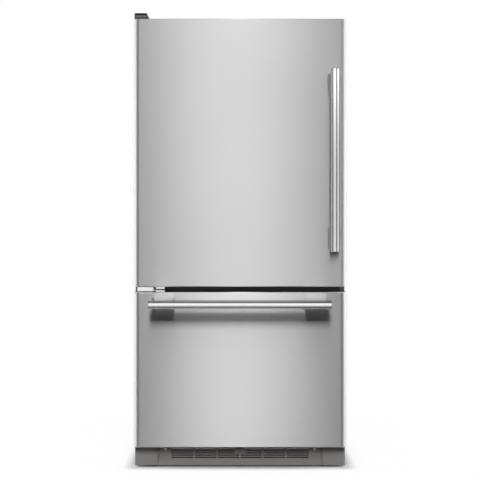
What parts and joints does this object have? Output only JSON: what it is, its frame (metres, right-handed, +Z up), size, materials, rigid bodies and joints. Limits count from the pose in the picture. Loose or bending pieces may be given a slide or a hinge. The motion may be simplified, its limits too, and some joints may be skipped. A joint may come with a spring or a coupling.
{
  "type": "bottom freezer refrigerator",
  "caption": "Free-standing refrigerator with a hinged upper door and a pull-out freezer drawer below, bar handles and a base grille.",
  "frame": {"origin": "on the floor, in the middle of the overall width and depth, handles included", "axes": "+X to the viewer's right, +Y to the back, +Z up; the doors face -Y"},
  "size_m": [0.829, 0.844, 1.773],
  "materials": {
    "door_steel": "satin",
    "handle_steel": "satin",
    "door_cap": "matte",
    "cabinet_paint": "satin",
    "zinc_sheet": "satin",
    "hinge_steel": "satin",
    "hinge_cover_plastic": "matte",
    "center_cover_metal": "satin",
    "rail_paint": "satin",
    "grille_plastic": "matte",
    "corner_plastic": "matte",
    "foot_plastic": "matte",
    "wheel_plastic": "matte",
    "foam": "matte",
    "liner_plastic": "gloss",
    "clear_plastic": "gloss",
    "basket_plastic": "satin",
    "shelf_glass": "gloss",
    "ladder_metal": "satin",
    "knob_plastic": "satin",
    "gasket_vinyl": "matte",
    "rubber": "matte",
    "compressor_paint": "satin",
    "coil_paint": "satin",
    "coil_aluminium": "satin",
    "fan_plastic": "matte",
    "motor_steel": "satin",
    "pan_plastic": "matte"
  },
  "bodies": {
    "cabinet": {"cabinet_wrapper": "cabinet_paint", "back_panel": "zinc_sheet", "base_deck": "zinc_sheet", "machine_cover": "zinc_sheet", "fridge_liner": "liner_plastic", "freezer_liner": "liner_plastic", "cabinet_foam": "foam", "center_rail": "rail_paint", "base_grille": "grille_plastic", "corner_covers": "corner_plastic", "roller_brackets": "zinc_sheet", "door_hinges": "hinge_steel", "top_hinge_cover": "hinge_cover_plastic", "center_hinge_cover": "center_cover_metal", "shelf_frames": "liner_plastic", "shelf_glass": "shelf_glass", "shelf_ladders": "ladder_metal", "control_housing": "liner_plastic", "lamp_lens": "clear_plastic", "air_duct": "liner_plastic", "outer_rails": "zinc_sheet", "evaporator_coil": "coil_aluminium", "evaporator_cover": "liner_plastic", "fan_motors": "motor_steel", "compressor": "compressor_paint", "rubber_grommets": "rubber", "drain_pan": "pan_plastic", "condenser_coil": "coil_paint", "cabinet_screws": "zinc_sheet"},
    "upper_door": {"upper_door_skin": "door_steel", "upper_door_caps": "door_cap", "upper_door_foam": "foam", "upper_door_liner": "liner_plastic", "upper_door_gasket": "gasket_vinyl", "upper_handle_bar": "handle_steel", "upper_handle_standoffs": "handle_steel", "door_bins": "clear_plastic", "door_stop_bracket": "hinge_steel"},
    "dairy_lid": {"dairy_flap": "clear_plastic"},
    "freezer_drawer": {"drawer_front_skin": "door_steel", "drawer_front_caps": "door_cap", "drawer_front_foam": "foam", "drawer_front_liner": "liner_plastic", "drawer_gasket": "gasket_vinyl", "drawer_handle_bar": "handle_steel", "drawer_handle_standoffs": "handle_steel", "drawer_brackets": "zinc_sheet", "freezer_basket": "basket_plastic"},
    "telescopic_members": {"middle_rails": "zinc_sheet"},
    "sliding_tray": {"freezer_tray": "basket_plastic"},
    "left_crisper": {"crisper_left": "clear_plastic"},
    "right_crisper": {"crisper_right": "clear_plastic"},
    "fridge_control": {"fridge_knob": "knob_plastic"},
    "freezer_control": {"freezer_knob": "knob_plastic"},
    "freezer_fan": {"evaporator_fan": "fan_plastic"},
    "machine_fan": {"condenser_fan": "fan_plastic"},
    "front_wheels": {"front_rollers": "wheel_plastic"},
    "rear_wheels": {"rear_rollers": "wheel_plastic"},
    "left_foot": {"levelling_foot_left": "foot_plastic"},
    "right_foot": {"levelling_foot_right": "foot_plastic"}
  },
  "joints": [
    {"name": "upper_door_swing", "type": "hinge", "parent": "cabinet", "child": "upper_door", "pos_m": [-0.392, -0.33, 1.23], "axis": [0, 0, -1], "range_deg": [0, 125]},
    {"name": "dairy_lid_lift", "type": "hinge", "parent": "upper_door", "child": "dairy_lid", "pos_m": [0, -0.2141, 1.583], "axis": [1, 0, 0], "range_deg": [0, 90]},
    {"name": "freezer_drawer_slide", "type": "slide", "parent": "cabinet", "child": "freezer_drawer", "axis": [0, -1, 0], "range_m": [0, 0.4]},
    {"name": "telescopic_slide", "type": "slide", "parent": "cabinet", "child": "telescopic_members", "axis": [0, -1, 0], "range_m": [0, 0.2]},
    {"name": "tray_slide", "type": "slide", "parent": "freezer_drawer", "child": "sliding_tray", "axis": [0, 1, 0], "range_m": [0, 0.17]},
    {"name": "left_crisper_slide", "type": "slide", "parent": "cabinet", "child": "left_crisper", "axis": [0, -1, 0], "range_m": [0, 0.035]},
    {"name": "right_crisper_slide", "type": "slide", "parent": "cabinet", "child": "right_crisper", "axis": [0, -1, 0], "range_m": [0, 0.035]},
    {"name": "fridge_control_turn", "type": "hinge", "parent": "cabinet", "child": "fridge_control", "pos_m": [-0.105, -0.199, 1.6686], "axis": [0, -1, 0], "range_deg": [0, 270]},
    {"name": "freezer_control_turn", "type": "hinge", "parent": "cabinet", "child": "freezer_control", "pos_m": [0.105, -0.199, 1.6686], "axis": [0, -1, 0], "range_deg": [0, 270]},
    {"name": "freezer_fan_spin", "type": "hinge", "parent": "cabinet", "child": "freezer_fan", "pos_m": [0, 0.3066, 0.6], "axis": [0, 1, 0], "continuous": true},
    {"name": "machine_fan_spin", "type": "hinge", "parent": "cabinet", "child": "machine_fan", "pos_m": [-0.07, 0.2946, 0.1495], "axis": [1, 0, 0], "continuous": true},
    {"name": "front_wheels_roll", "type": "hinge", "parent": "cabinet", "child": "front_wheels", "pos_m": [0, -0.183, 0.025], "axis": [1, 0, 0], "continuous": true},
    {"name": "rear_wheels_roll", "type": "hinge", "parent": "cabinet", "child": "rear_wheels", "pos_m": [0, 0.37, 0.025], "axis": [1, 0, 0], "continuous": true},
    {"name": "left_foot_screw", "type": "slide", "parent": "cabinet", "child": "left_foot", "axis": [0, 0, 1], "range_m": [0, 0.012]},
    {"name": "right_foot_screw", "type": "slide", "parent": "cabinet", "child": "right_foot", "axis": [0, 0, 1], "range_m": [0, 0.012]}
  ],
  "couplings": [
    {"joint": "telescopic_slide", "follows": "freezer_drawer_slide", "ratio": 0.5}
  ]
}
